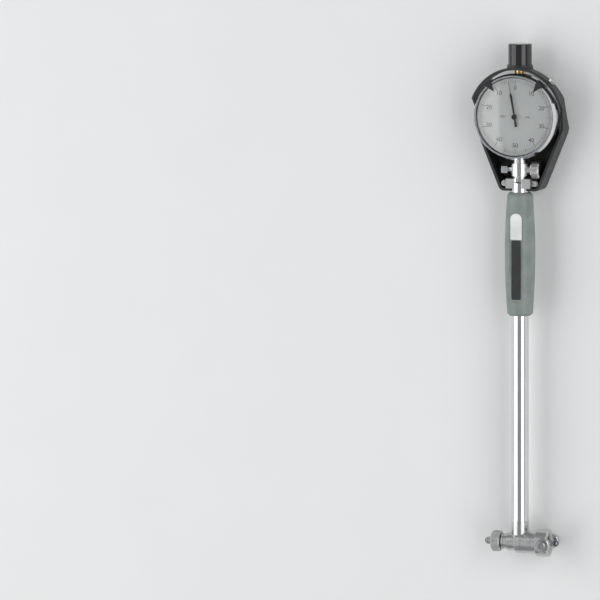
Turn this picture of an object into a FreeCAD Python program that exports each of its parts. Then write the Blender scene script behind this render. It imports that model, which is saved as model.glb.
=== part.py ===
"""Dial bore gauge, lying on its back.

Millimetres. X runs along the measuring axis towards the sprung contact, Y runs along the stem
towards the dust cap, and Z points out of the dial. The plane Z = 0 is what the gauge lies on,
and the origin is the middle of its footprint.
"""
import FreeCAD, Part
import math
import os

V = FreeCAD.Vector
X_DIR = V(1, 0, 0)
Y_DIR = V(0, 1, 0)
Z_DIR = V(0, 0, 1)

# ---------------------------------------------------------------- driving dimensions
# Fits
FIT = 0.03                    # radial clearance of a shaft in its hole
GAP = 0.3                     # space between pieces that move past each other

# Layout. Distances along the stem are measured from the dial centre, positive towards the cap.
STEM_HEIGHT = 16.0            # stem axis above the plane the gauge lies on
DIAL_RISE = 11.0              # dial face above the stem axis
AXIS_DROP = 298.4             # dial centre down to the measuring axis
CAP_TOP = 50.0                # dial centre up to the end of the dust cap

# Bezel, dial and crystal
BEZEL_RADIUS = 30.0
BEZEL_LIP = 4.0               # bezel front above the dial face
BEZEL_SKIRT = 6.5             # bezel skirt below the dial face
BEZEL_FRONT_RADIUS = 28.7     # outer edge of the sloped front
BEZEL_BEVEL_DEPTH = 3.4
DIAL_VIEW_RADIUS = 26.9       # opening of the bezel
DIAL_THICKNESS = 0.8
CRYSTAL_SEAT = 2.0            # crystal's underside above the dial face
CRYSTAL_RADIUS = 27.5
CRYSTAL_THICKNESS = 1.2
CRYSTAL_CROWN = 2.2

# Pointer
POINTER_LENGTH = 24.0
POINTER_TAIL = 7.0
POINTER_WIDTH = 1.7
POINTER_TIP_WIDTH = 0.3
POINTER_THICKNESS = 0.3
POINTER_RISE = 1.5            # underside of the pointer above the dial face
POINTER_HUB_RADIUS = 1.75
POINTER_HUB_HEIGHT = 1.5
POINTER_ANGLE = 10.0          # rest position, degrees to the left of the top

# Tolerance markers clipped round the bezel
MARKER_ANGLE = 39.0           # degrees either side of the top
MARKER_REACH = 22.6           # radius of the marker's tip
MARKER_WIDTH = 6.0
MARKER_THICKNESS = 0.5
MARKER_SKIRT = 6.0            # length of the leg outside the bezel

# Indicator case
CASE_RADIUS = 28.5
CASE_WALL = 1.6
CASE_FLOOR = 2.0
CASE_DEPTH = 18.5             # back of the case below the dial face
CASE_NECK_RADIUS = 28.0       # rim under the bezel
COVER_THICKNESS = 1.5
COVER_RADIUS = 26.0
COVER_SCREW_RADIUS = 1.3
COVER_SCREW_CIRCLE = 23.0
STEM_RADIUS = 4.0             # clamping stem of the indicator
STEM_END = 46.0
SPINDLE_RADIUS = 2.0
SPINDLE_END = 50.0
SPINDLE_TOP = 43.0
POINT_RADIUS = 2.4
POINT_LENGTH = 5.1
BUSHING_TOP = 41.0
GUIDE_PIN_DROP = 3.0          # pin in the spindle below the dial centre
SPRING_POST_DROP = 21.0
SPRING_PIN_RADIUS = 0.7
SPRING_OFFSET = 8.0           # spring axis beside the spindle axis
SPINDLE_SPRING_WIRE = 0.4
SPINDLE_SPRING_TURNS = 6

# Rack, gears and arbors
RACK_PITCH = 0.625            # one pointer turn for each millimetre
RACK_TEETH = 14
RACK_TOOTH_HEIGHT = 0.4
RACK_LINE = 1.65              # tooth crests from the spindle axis
PINION_TEETH = 16
GEAR_TEETH = 100
CENTRE_TEETH = 10
GEAR_MODULE = 0.2
MESH_GAP = 0.05               # crest to crest
GEAR_THICKNESS = 1.0
PINION_FACE = 4.0
ARBOR_RADIUS = 0.6
GEAR_DROP = 6.8               # underside of the gears below the dial face
PLATE_DROP = 3.6              # top of the movement plate below the dial face
PLATE_THICKNESS = 1.2
PLATE_RADIUS = 25.0
PILLAR_RADIUS = 1.6
PILLAR_CIRCLE = 22.0
PILLAR_SCREW_RADIUS = 1.4

# Guard
GUARD_RADIUS = 34.0
GUARD_WALL = 1.8
ARCH_HALF_ANGLE = 69.0
SHOULDER_HALF_WIDTH = 31.9
SHOULDER_DROP = 9.0
FOOT_HALF_WIDTH = 14.0
FOOT_DROP = 52.5
FOOT_CORNER = 4.5
GUARD_BACK_ROUND = 1.5
BOSS_RADIUS = 8.6
BOSS_TOP = 35.5

# Dust cap
CAP_RADIUS = 8.2
CAP_WALL = 1.6
CAP_ROUND = 1.0

# Clamp of the indicator's stem
SLEEVE_RADIUS = 5.0
SLEEVE_TOP = 30.8
SLEEVE_SLOT = 2.0
SLEEVE_FOOT_HEIGHT = 2.6
RING_RADIUS = 6.3
RING_HEIGHT = 8.8
CLAMP_DROP = 37.6             # clamp screw axis below the dial centre
CLAMP_NECK_RADIUS = 3.3
CLAMP_NECK_END = 8.8
CLAMP_SCREW_RADIUS = 2.0
KNOB_RADIUS = 6.65
KNOB_LENGTH = 6.0
KNOB_CHAMFER = 0.7
NUT_FLATS = 8.0
NUT_LENGTH = 4.4
NUT_START = 8.0
STUD_END = 13.2

# Mounting block in the foot of the guard
BLOCK_HALF_WIDTH = 8.8
BLOCK_TOP = 43.8
BLOCK_BOTTOM = 50.5
BLOCK_RISE = 5.4              # front face above the stem axis
BLOCK_SLOT = 5.2
EAR_OFFSET = 11.2
EAR_DROP = 47.3
EAR_RADIUS = 2.1
EAR_TOP = 17.0
EAR_THICKNESS = 2.5
EAR_SCREW_RADIUS = 1.0
EAR_SCREW_HEAD = 1.6
EAR_SCREW_HEAD_HEIGHT = 1.5

# Tube, transfer rod and grip
TUBE_RADIUS = 6.0
TUBE_BORE = 5.0
TUBE_TOP = 46.7
ROD_RADIUS = 2.0
ROD_LIFT = 1.6
ROD_COLLAR_RADIUS = 3.8
ROD_COLLAR_DROP = 86.0
ROD_COLLAR_LENGTH = 2.0
UPPER_BUSH_DROP = 59.0
UPPER_BUSH_LENGTH = 12.0
LOWER_BUSH_LENGTH = 9.0
ROD_SPRING_WIRE = 0.6
ROD_SPRING_TURNS = 5
GRIP_TOP = 53.2
GRIP_BOTTOM = 139.3
GRIP_NECK_RADIUS = 9.1
GRIP_NECK_DROP = 57.6
GRIP_BELLY_RADIUS = 10.6
GRIP_BELLY_DROP = 98.0
GRIP_TAIL_RADIUS = 9.2
GRIP_TAIL_DROP = 134.0
GRIP_END_CHAMFER = 1.5
WINDOW_TOP = 66.7
WINDOW_BOTTOM = 129.7
WINDOW_WIDTH = 9.2
WINDOW_RISE = 9.1             # flat floor of the window above the stem axis
LABEL_THICKNESS = 0.4
LABEL_CORNER = 0.8
WHITE_LABEL_WIDTH = 8.2
WHITE_LABEL_TOP = 67.5
WHITE_LABEL_BOTTOM = 85.8
BLACK_LABEL_WIDTH = 6.6
BLACK_LABEL_TOP = 86.4
BLACK_LABEL_BOTTOM = 127.6

# Measuring head. Distances along X are measured from the stem axis.
HEAD_RADIUS = 7.875
HEAD_SHOULDER = -2.5          # where the body steps down to the anvil side
HEAD_END = 14.5
ANVIL_SIDE_RADIUS = 6.3
ANVIL_SIDE_END = -9.0
THREAD_RADIUS = 5.4
THREAD_END = -13.2
RING_GROOVE = 0.5
SOCKET_TOP = 15.0             # top of the neck that the tube stands on
SPIGOT_LENGTH = 12.0
ROD_BORE = 2.6
ANVIL_RADIUS = 2.7
ANVIL_INNER = -5.3
ANVIL_OUTER = -24.2
ANVIL_TIP_RADIUS = 2.1
ANVIL_TIP_LENGTH = 1.4
TIP_CROWN = 1.0               # height of the anvil's dome; the contact's dome is twice as high
LOCK_NUT_RADIUS = 7.15
LOCK_NUT_LENGTH = 6.4
LOCK_NUT_CHAMFER = 0.7

# Bell crank
CRANK_ARM = 5.0
CRANK_BALL = 1.0
CRANK_HUB = 1.5
CRANK_ARM_WIDTH = 1.6
CRANK_THICKNESS = 3.0
CRANK_PIN_RADIUS = 0.75
CRANK_PIN_HALF_LENGTH = 5.9

# Contact plunger
PLUNGER_RADIUS = 2.5
PLUNGER_NOSE_RADIUS = 1.0     # slim inner end that the crank's ball bears on
PLUNGER_NOSE_LENGTH = 2.5
PLUNGER_OUTER = 25.0
PLUNGER_COLLAR_RADIUS = 3.3
PLUNGER_COLLAR = 14.9
PLUNGER_COLLAR_LENGTH = 1.0
PLUNGER_SPRING_WIRE = 0.4
PLUNGER_SPRING_TURNS = 4
TIP_LENGTH = 3.2
BUSH_START = 9.0
BUSH_SHOULDER = 16.2
BUSH_POCKET_RADIUS = 3.6
NOSE_RADIUS = 4.0
NOSE_END = 23.0
HEAD_BORE = 5.0

# Centring bridge
BRIDGE_RADIUS = 9.75
BRIDGE_BACK = 13.0
BRIDGE_FLOOR = 17.6
BRIDGE_FRONT = 21.6
BRIDGE_FLAT = 8.7
BRIDGE_ROUND = 1.2
BRIDGE_TRAVEL = 2.0
SLIDE_FIT = 0.075
GUIDE_PIN_RADIUS = 0.6
GUIDE_PIN_OFFSET = 6.4
GUIDE_PIN_START = 10.5
GUIDE_PIN_END = 20.0
BRIDGE_SPRING_WIRE = 0.3
BRIDGE_SPRING_TURNS = 4
BRIDGE_SPRING_RADIUS = 1.1
CLIP_RADIUS = 5.2
CLIP_THICKNESS = 0.7
ROLLER_RADIUS = 5.0
ROLLER_AXIS = 19.8
ROLLER_WIDTH = 4.4
ROLLER_SCREW_RADIUS = 1.5
ROLLER_SCREW_INNER = 5.4
ROLLER_SCREW_HEAD = 3.1
ROLLER_SOCKET = 1.3

# Bezel lock screw
LOCK_SCREW_ANGLE = 45.0
LOCK_SCREW_DROP = 5.0
LOCK_SCREW_RADIUS = 1.25
LOCK_SCREW_HEAD = 2.9
LOCK_SCREW_OUTER = 37.0

# ---------------------------------------------------------------- places worked out from them
DIAL_Y = (AXIS_DROP + BRIDGE_RADIUS - CAP_TOP) / 2
DIAL_Z = STEM_HEIGHT + DIAL_RISE
STEM = V(0, DIAL_Y, STEM_HEIGHT)                 # stem axis, level with the dial centre
DIAL = V(0, DIAL_Y, DIAL_Z)                      # centre of the dial face
HEAD = V(0, DIAL_Y - AXIS_DROP, STEM_HEIGHT)     # stem axis meets measuring axis
CASE_BACK = DIAL_Z - CASE_DEPTH
CASE_INSIDE = CASE_BACK + CASE_FLOOR
PINION_PITCH_RADIUS = PINION_TEETH * RACK_PITCH / (2 * math.pi)
GEAR_CENTRES = GEAR_MODULE * (GEAR_TEETH + CENTRE_TEETH) / 2
ARBOR_X = RACK_LINE + MESH_GAP + PINION_PITCH_RADIUS
ARBOR_Y = math.sqrt(GEAR_CENTRES ** 2 - ARBOR_X ** 2)
RACK_ARBOR = V(-ARBOR_X, DIAL_Y + ARBOR_Y, 0)
TAKE_UP_ARBOR = V(ARBOR_X, DIAL_Y - ARBOR_Y, 0)
GEAR_Z = DIAL_Z - GEAR_DROP
PLATE_Z = DIAL_Z - PLATE_DROP
ROD_TOP = SPINDLE_END + POINT_LENGTH + GAP
ROD_BOTTOM = AXIS_DROP - CRANK_ARM - CRANK_BALL - GAP
PLUNGER_INNER = CRANK_ARM + CRANK_BALL + GAP
TUBE_BOTTOM = AXIS_DROP - SOCKET_TOP
CRANK_PIVOT = HEAD + V(CRANK_ARM, CRANK_ARM, 0)


# ---------------------------------------------------------------- shape helpers
def turned(profile, origin, axis):
    """Solid of revolution. A profile entry is (distance along axis, radius), or a pair of
    such entries for an arc: the point it passes through and the point where it ends."""
    side = X_DIR if abs(axis.z) > 0.5 else Z_DIR
    edges = []
    here = profile[0]
    for step in list(profile[1:]) + [profile[0]]:
        is_arc = isinstance(step[0], tuple)
        end = step[1] if is_arc else step
        start_point = origin + axis * here[0] + side * here[1]
        end_point = origin + axis * end[0] + side * end[1]
        if is_arc:
            middle = origin + axis * step[0][0] + side * step[0][1]
            edges.append(Part.Arc(start_point, middle, end_point).toShape())
        else:
            edges.append(Part.makeLine(start_point, end_point))
        here = end
    return Part.Face(Part.Wire(edges)).revolve(origin, axis, 360)


def crown(rim, apex):
    """Arc step from a rim point to an apex on the axis, centred on the axis."""
    height = abs(apex - rim[0])
    radius = (height ** 2 + rim[1] ** 2) / (2 * height)
    drop = radius - math.sqrt(radius ** 2 - (rim[1] / 2) ** 2)
    return (apex - math.copysign(drop, apex - rim[0]), rim[1] / 2), (apex, 0)


def bar(radius, start, end, origin, axis):
    """Cylinder between two distances along an axis."""
    return Part.makeCylinder(radius, end - start, origin + axis * start, axis)


def tube(outer, inner, start, end, origin, axis):
    """Hollow cylinder between two distances along an axis."""
    return turned([(start, inner), (start, outer), (end, outer), (end, inner)], origin, axis)


def block(low, high):
    """Box between two corners."""
    size = high - low
    return Part.makeBox(size.x, size.y, size.z, low)


def prism(points, direction):
    """Straight-sided solid from a closed outline."""
    return Part.Face(Part.makePolygon(points + [points[0]])).extrude(direction)


def fused(first, *others):
    """One clean solid from pieces that meet."""
    return first.fuse(list(others)).removeSplitter()


def coil(mean_radius, wire, start, end, turns, origin, axis):
    """Helical spring of square wire between two distances along an axis."""
    rise = end - start - wire
    path = Part.Wire(Part.makeHelix(rise / turns, rise, mean_radius).Edges)
    inner = mean_radius - wire / 2
    outer = mean_radius + wire / 2
    section = Part.makePolygon([V(inner, 0, -wire / 2), V(outer, 0, -wire / 2),
                                V(outer, 0, wire / 2), V(inner, 0, wire / 2),
                                V(inner, 0, -wire / 2)])
    spring = path.makePipeShell([section], True, True)
    base = origin + axis * (start + wire / 2)
    spring.Placement = FreeCAD.Placement(base, FreeCAD.Rotation(Z_DIR, axis))
    return spring


def toothed_wheel(teeth, tip_radius, tooth_height, bottom, thickness, centre):
    """Wheel with straight-sided teeth on an axis along Z."""
    points = []
    step = 2 * math.pi / teeth
    for tooth in range(teeth):
        for share, radius in ((-0.32, tip_radius - tooth_height), (-0.14, tip_radius),
                              (0.14, tip_radius), (0.32, tip_radius - tooth_height)):
            angle = (tooth + share) * step
            points.append(V(centre.x + radius * math.cos(angle),
                            centre.y + radius * math.sin(angle), bottom))
    return prism(points, V(0, 0, thickness))


def round_dial(radius, angle, height):
    """Point at a radius from the dial centre, at an angle to the right of the top."""
    turn = math.radians(angle)
    return V(radius * math.sin(turn), DIAL_Y + radius * math.cos(turn), height)


# ---------------------------------------------------------------- bezel, dial, markers
def bezel_ring():
    top = BEZEL_LIP
    inner = CASE_NECK_RADIUS + GAP
    return turned([(-BEZEL_SKIRT, inner), (-BEZEL_SKIRT, BEZEL_RADIUS - 0.5),
                   (-BEZEL_SKIRT + 0.5, BEZEL_RADIUS), (top - BEZEL_BEVEL_DEPTH, BEZEL_RADIUS),
                   (top, BEZEL_FRONT_RADIUS), (top, CRYSTAL_RADIUS + FIT),
                   (CRYSTAL_SEAT, CRYSTAL_RADIUS + FIT), (CRYSTAL_SEAT, DIAL_VIEW_RADIUS),
                   (0, DIAL_VIEW_RADIUS), (0, inner)], DIAL, Z_DIR)


def crystal():
    low = CRYSTAL_SEAT
    edge = (low + CRYSTAL_THICKNESS, CRYSTAL_RADIUS)
    outer = turned([(low, 0), (low, CRYSTAL_RADIUS), edge, crown(edge, edge[0] + CRYSTAL_CROWN)],
                   DIAL, Z_DIR)
    hollow_rim = (low, CRYSTAL_RADIUS - CRYSTAL_THICKNESS)
    return outer.cut(turned([(low, 0), hollow_rim, crown(hollow_rim, low + CRYSTAL_CROWN)], DIAL, Z_DIR))


def dial_face():
    return tube(CASE_NECK_RADIUS + GAP - FIT, ARBOR_RADIUS + GAP, -DIAL_THICKNESS, 0, DIAL, Z_DIR)


def tolerance_marker(angle):
    """Clip with a leg outside the bezel and a pointed tongue over the crystal."""
    low = DIAL_Z + BEZEL_LIP + GAP
    inner = BEZEL_RADIUS + GAP
    outer = inner + MARKER_THICKNESS
    half = MARKER_WIDTH / 2
    tongue = prism([V(-half, DIAL_Y + inner, low), V(half, DIAL_Y + inner, low),
                    V(0, DIAL_Y + MARKER_REACH, low)], V(0, 0, MARKER_THICKNESS))
    leg_low = low - MARKER_SKIRT
    ring = tube(outer, inner - FIT, leg_low - DIAL_Z, low - DIAL_Z + MARKER_THICKNESS, DIAL, Z_DIR)
    leg = ring.common(block(V(-half, DIAL_Y, leg_low), V(half, DIAL_Y + outer + 1, low + 1)))
    clip = fused(leg, tongue)
    clip.rotate(DIAL, Z_DIR, -angle)
    return clip


# ---------------------------------------------------------------- pointer and gear train
def pointer():
    low = DIAL_Z + POINTER_RISE
    half = POINTER_WIDTH / 2
    tip = POINTER_TIP_WIDTH / 2
    waist = POINTER_LENGTH * 0.62
    hand = prism([V(-half * 0.6, DIAL_Y, low), V(-half, DIAL_Y + waist, low),
                  V(-tip, DIAL_Y + waist + 2, low), V(-tip, DIAL_Y + POINTER_LENGTH, low),
                  V(tip, DIAL_Y + POINTER_LENGTH, low), V(tip, DIAL_Y + waist + 2, low),
                  V(half, DIAL_Y + waist, low), V(half * 0.6, DIAL_Y, low),
                  V(half, DIAL_Y - POINTER_TAIL, low), V(-half, DIAL_Y - POINTER_TAIL, low)],
                 V(0, 0, POINTER_THICKNESS))
    hub = bar(POINTER_HUB_RADIUS, POINTER_RISE, POINTER_RISE + POINTER_HUB_HEIGHT, DIAL, Z_DIR)
    whole = fused(hand, hub).cut(bar(ARBOR_RADIUS + FIT, 0, POINTER_RISE + 1, DIAL, Z_DIR))
    whole.rotate(DIAL, Z_DIR, POINTER_ANGLE)
    return whole


def centre_pinion():
    arbor = bar(ARBOR_RADIUS, -GEAR_DROP - GEAR_THICKNESS, POINTER_RISE + 0.9, DIAL, Z_DIR)
    tip = GEAR_MODULE * CENTRE_TEETH / 2 - MESH_GAP / 2
    teeth = toothed_wheel(CENTRE_TEETH, tip, GEAR_MODULE, GEAR_Z - 0.2, GEAR_THICKNESS + 0.4, DIAL)
    return fused(arbor, teeth)


def long_arbor(centre):
    """Arbor between its pivot in the case floor and its hole in the movement plate."""
    pivot = CASE_INSIDE - CASE_FLOOR / 2
    return Part.makeCylinder(ARBOR_RADIUS, PLATE_Z - pivot, V(centre.x, centre.y, pivot), Z_DIR)


def rack_pinion():
    tip = PINION_PITCH_RADIUS - MESH_GAP / 2
    teeth = toothed_wheel(PINION_TEETH, tip, RACK_TOOTH_HEIGHT, STEM_HEIGHT - PINION_FACE / 2,
                          PINION_FACE, RACK_ARBOR)
    return fused(long_arbor(RACK_ARBOR), teeth)


def gear_on(centre):
    """Large gear with a hub and a bore for its arbor."""
    tip = GEAR_MODULE * GEAR_TEETH / 2 - MESH_GAP / 2
    wheel = toothed_wheel(GEAR_TEETH, tip, 2 * GEAR_MODULE, GEAR_Z, GEAR_THICKNESS, centre)
    base = V(centre.x, centre.y, GEAR_Z)
    for spoke in range(4):
        angle = math.radians(45 + 90 * spoke)
        hole = base + V(math.cos(angle), math.sin(angle), 0) * (tip * 0.56)
        wheel = wheel.cut(Part.makeCylinder(tip * 0.25, GEAR_THICKNESS, hole, Z_DIR))
    return wheel.cut(Part.makeCylinder(ARBOR_RADIUS + FIT, GEAR_THICKNESS, base, Z_DIR))


def hairspring():
    """Flat spiral under the take-up gear, made of half circles that grow by half a pitch."""
    thickness = 0.15
    pitch = 0.7
    height = 0.5
    low = GEAR_Z - GAP - height
    centre = V(TAKE_UP_ARBOR.x, TAKE_UP_ARBOR.y, low)
    edges = []
    for offset, backwards in ((0.0, False), (thickness, True)):
        side = []
        radius = ARBOR_RADIUS + GAP + offset
        left_end = centre - X_DIR * radius
        for half_turn in range(8):
            sign = 1 if half_turn % 2 == 0 else -1
            span = 2 * radius + pitch / 2
            right_end = left_end + X_DIR * (sign * span)
            middle = (left_end + right_end) * 0.5 - Y_DIR * (sign * span / 2)
            side.append(Part.Arc(left_end, middle, right_end).toShape())
            left_end = right_end
            radius += pitch / 2
        edges.append(side)
    inner, outer = edges
    start = Part.makeLine(inner[0].Vertexes[0].Point, outer[0].Vertexes[0].Point)
    end = Part.makeLine(inner[-1].Vertexes[-1].Point, outer[-1].Vertexes[-1].Point)
    outline = Part.Wire(Part.__sortEdges__([start, end] + inner + outer))
    return Part.Face(outline).extrude(V(0, 0, height))


def movement_plate():
    plate = bar(PLATE_RADIUS, PLATE_Z - PLATE_THICKNESS - DIAL_Z, PLATE_Z - DIAL_Z, DIAL, Z_DIR)
    low = PLATE_Z - PLATE_THICKNESS
    for centre in (DIAL, RACK_ARBOR, TAKE_UP_ARBOR):
        plate = plate.cut(Part.makeCylinder(ARBOR_RADIUS + FIT, PLATE_THICKNESS,
                                            V(centre.x, centre.y, low), Z_DIR))
    for place in pillar_places(low):
        plate = plate.cut(Part.makeCylinder(PILLAR_SCREW_RADIUS / 2 + FIT, PLATE_THICKNESS,
                                            place, Z_DIR))
    return plate


def pillar_places(height):
    """Four places round the case, clear of the spindle and the gears."""
    return [round_dial(PILLAR_CIRCLE, angle, height) for angle in (45, 135, 225, 315)]


def movement_pillars():
    height = PLATE_Z - PLATE_THICKNESS - CASE_INSIDE
    pillars = []
    for place in pillar_places(CASE_INSIDE):
        pillar = Part.makeCylinder(PILLAR_RADIUS, height, place, Z_DIR)
        hole = Part.makeCylinder(PILLAR_SCREW_RADIUS / 2 + FIT, 4, place + Z_DIR * (height - 4), Z_DIR)
        pillars.append(pillar.cut(hole))
    return Part.Compound(pillars)


def movement_screws():
    screws = []
    for place in pillar_places(PLATE_Z):
        head = Part.makeCylinder(PILLAR_SCREW_RADIUS, 0.9, place, Z_DIR)
        shank = Part.makeCylinder(PILLAR_SCREW_RADIUS / 2, PLATE_THICKNESS + 3.5,
                                  place - Z_DIR * (PLATE_THICKNESS + 3.5), Z_DIR)
        slot = block(place + V(-PILLAR_SCREW_RADIUS, -0.2, 0.5), place + V(PILLAR_SCREW_RADIUS, 0.2, 0.9))
        screws.append(fused(head, shank).cut(slot))
    return Part.Compound(screws)


# ---------------------------------------------------------------- indicator case and spindle
def indicator_case():
    neck_top = -DIAL_THICKNESS - GAP
    neck_start = -BEZEL_SKIRT - GAP
    inner = CASE_RADIUS - CASE_WALL
    case = turned([(-CASE_DEPTH, 0), (-CASE_DEPTH, CASE_RADIUS - 0.8),
                   (-CASE_DEPTH + 0.8, CASE_RADIUS), (neck_start, CASE_RADIUS),
                   (neck_start, CASE_NECK_RADIUS), (neck_top, CASE_NECK_RADIUS),
                   (neck_top, inner), (-CASE_DEPTH + CASE_FLOOR, inner),
                   (-CASE_DEPTH + CASE_FLOOR, 0)], DIAL, Z_DIR)
    case = case.cut(bar(STEM_RADIUS + FIT, -CASE_RADIUS - 1, CASE_RADIUS + 1, STEM, Y_DIR))
    for centre in (RACK_ARBOR, TAKE_UP_ARBOR):
        pivot = V(centre.x, centre.y, CASE_INSIDE - CASE_FLOOR / 2)
        case = case.cut(Part.makeCylinder(ARBOR_RADIUS + FIT, CASE_FLOOR, pivot, Z_DIR))
    for place in cover_screw_places(CASE_BACK):
        case = case.cut(Part.makeCylinder(COVER_SCREW_RADIUS / 2 + FIT, CASE_FLOOR * 0.8, place, Z_DIR))
    return case


def cover_screw_places(height):
    return [round_dial(COVER_SCREW_CIRCLE, angle, height) for angle in (20, 110, 200, 290)]


def case_back_cover():
    low = -CASE_DEPTH - COVER_THICKNESS
    cover = turned([(low + 0.3, 0), (low + 0.3, COVER_RADIUS - 5), (low, COVER_RADIUS - 4.4),
                    (low, COVER_RADIUS - 0.6), (low + 0.6, COVER_RADIUS),
                    (-CASE_DEPTH, COVER_RADIUS), (-CASE_DEPTH, 0)], DIAL, Z_DIR)
    for place in cover_screw_places(CASE_BACK - COVER_THICKNESS):
        cover = cover.cut(cover_screw(place, FIT))
    return cover


def cover_screw(place, clearance):
    """Countersunk screw seen from behind, or the hole for it."""
    head = COVER_SCREW_RADIUS
    shank = head / 2
    reach = COVER_THICKNESS + CASE_FLOOR * 0.7
    return turned([(0, 0), (0, head + clearance), (head - shank, shank + clearance),
                   (reach + clearance, shank + clearance), (reach + clearance, 0)], place, Z_DIR)


def back_cover_screws():
    screws = []
    for place in cover_screw_places(CASE_BACK - COVER_THICKNESS):
        slot = block(place + V(-COVER_SCREW_RADIUS, -0.2, 0), place + V(COVER_SCREW_RADIUS, 0.2, 0.35))
        screws.append(cover_screw(place, 0).cut(slot))
    return Part.Compound(screws)


def indicator_stem():
    inner = -(CASE_RADIUS - CASE_WALL - 2)
    return tube(STEM_RADIUS, SPINDLE_RADIUS + FIT, -STEM_END, inner, STEM, Y_DIR)


def top_bushing():
    inner = CASE_RADIUS - CASE_WALL - 2
    return tube(STEM_RADIUS, SPINDLE_RADIUS + FIT, inner, BUSHING_TOP, STEM, Y_DIR)


def spindle():
    shaft = bar(SPINDLE_RADIUS, -SPINDLE_END, SPINDLE_TOP, STEM, Y_DIR)
    reach = RACK_TEETH * RACK_PITCH
    first = DIAL_Y + ARBOR_Y - reach / 2
    root = -(RACK_LINE - RACK_TOOTH_HEIGHT)
    half = SPINDLE_RADIUS
    flat = block(V(-SPINDLE_RADIUS, first, STEM_HEIGHT - half), V(root, first + reach, STEM_HEIGHT + half))
    points = [V(root + 0.2, first, STEM_HEIGHT - half / 2)]
    for tooth in range(RACK_TEETH):
        low = first + tooth * RACK_PITCH
        for share, x in ((0.12, root), (0.36, -RACK_LINE), (0.64, -RACK_LINE), (0.88, root)):
            points.append(V(x, low + share * RACK_PITCH, STEM_HEIGHT - half / 2))
    points.append(V(root + 0.2, first + reach, STEM_HEIGHT - half / 2))
    rack = prism(points, V(0, 0, half))
    thread = bar(POINT_RADIUS / 2 + FIT, -SPINDLE_END, -SPINDLE_END + 4, STEM, Y_DIR)
    pin_hole = bar(SPRING_PIN_RADIUS + FIT, -FIT, SPINDLE_RADIUS + 1, STEM - Y_DIR * GUIDE_PIN_DROP, X_DIR)
    return fused(shaft.cut(flat), rack).cut(thread).cut(pin_hole)


def spindle_contact_point():
    start = -SPINDLE_END
    end = start - POINT_LENGTH
    ball = POINT_RADIUS * 0.6
    rim = (end + ball, ball)
    return turned([(start + 3.6, 0), (start + 3.6, POINT_RADIUS / 2), (start, POINT_RADIUS / 2),
                   (start, POINT_RADIUS), (start - POINT_LENGTH * 0.6, POINT_RADIUS),
                   rim, crown(rim, end)], STEM, Y_DIR)


def spindle_guide_pin():
    """Pin that stands out of the spindle and pulls the end of its spring."""
    origin = STEM - Y_DIR * GUIDE_PIN_DROP
    return bar(SPRING_PIN_RADIUS, 0, SPRING_OFFSET + 1.2, origin, X_DIR)


def spring_post():
    """Post on the floor of the case that holds the other end of the spring."""
    place = V(SPRING_OFFSET, DIAL_Y - SPRING_POST_DROP, CASE_INSIDE)
    return Part.makeCylinder(SPRING_PIN_RADIUS, STEM_HEIGHT + 1.2 - CASE_INSIDE, place, Z_DIR)


def spindle_return_spring():
    """Extension spring beside the spindle, with a loop at each end."""
    wire = SPINDLE_SPRING_WIRE
    loop = SPRING_PIN_RADIUS + FIT
    half = wire / 2
    near = -GUIDE_PIN_DROP - loop - half
    far = -SPRING_POST_DROP + loop + half
    origin = STEM + X_DIR * SPRING_OFFSET
    mean_radius = loop + wire
    spring = coil(mean_radius, wire, far, near, SPINDLE_SPRING_TURNS, origin, Y_DIR)
    pieces = []
    for end, place, axis in ((near, -GUIDE_PIN_DROP, X_DIR), (far, -SPRING_POST_DROP, Z_DIR)):
        inward = math.copysign(half, near + far - 2 * end)
        pieces.append(block(origin + V(-half, end + min(0, 2 * inward), -half),
                            origin + V(mean_radius, end + max(0, 2 * inward), half)))
        pieces.append(tube(loop + wire, loop, -half, half, origin + Y_DIR * place, axis))
    return fused(spring, *pieces)


def dust_cap():
    bore = STEM_RADIUS + FIT
    inner_end = CAP_TOP - CAP_WALL
    return turned([(BOSS_TOP, bore), (BOSS_TOP, CAP_RADIUS), (CAP_TOP - CAP_ROUND, CAP_RADIUS),
                   ((CAP_TOP - CAP_ROUND * 0.293, CAP_RADIUS - CAP_ROUND * 0.293),
                    (CAP_TOP, CAP_RADIUS - CAP_ROUND)),
                   (CAP_TOP, 0), (inner_end, 0), (inner_end, bore)], STEM, Y_DIR)


# ---------------------------------------------------------------- guard
def guard_outline(inset, height):
    """Arch over the dial, straight shoulders and sides that taper to the foot."""
    radius = GUARD_RADIUS - inset
    taper = math.atan2(SHOULDER_HALF_WIDTH - FOOT_HALF_WIDTH, FOOT_DROP - SHOULDER_DROP)
    slant = inset / math.cos(taper)
    low = -FOOT_DROP + inset
    side = SHOULDER_HALF_WIDTH - inset
    shoulder = -SHOULDER_DROP + inset * math.tan(taper / 2)
    foot = FOOT_HALF_WIDTH - slant + inset * math.tan(taper)
    turn = math.radians(ARCH_HALF_ANGLE)
    arch_end = V(radius * math.sin(turn), DIAL_Y + radius * math.cos(turn), height)
    arch_start = V(-arch_end.x, arch_end.y, height)
    arch = Part.Arc(arch_start, V(0, DIAL_Y + radius, height), arch_end).toShape()
    rest = Part.makePolygon([arch_end, V(side, DIAL_Y + shoulder, height), V(foot, DIAL_Y + low, height),
                             V(-foot, DIAL_Y + low, height), V(-side, DIAL_Y + shoulder, height),
                             arch_start])
    return Part.Face(Part.Wire([arch] + rest.Edges))


def upright_edges_near(solid, half_width, drop):
    """Upright edges of a prism at one distance below the dial centre, on both sides."""
    found = []
    for edge in solid.Edges:
        ends = [vertex.Point for vertex in edge.Vertexes]
        if len(ends) == 2 and abs(ends[0].z - ends[1].z) > 1 and abs(ends[0].y - ends[1].y) < 0.01:
            if abs(ends[0].y - DIAL_Y + drop) < 1.0 and abs(abs(ends[0].x) - half_width) < 3:
                found.append(edge)
    return found


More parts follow.
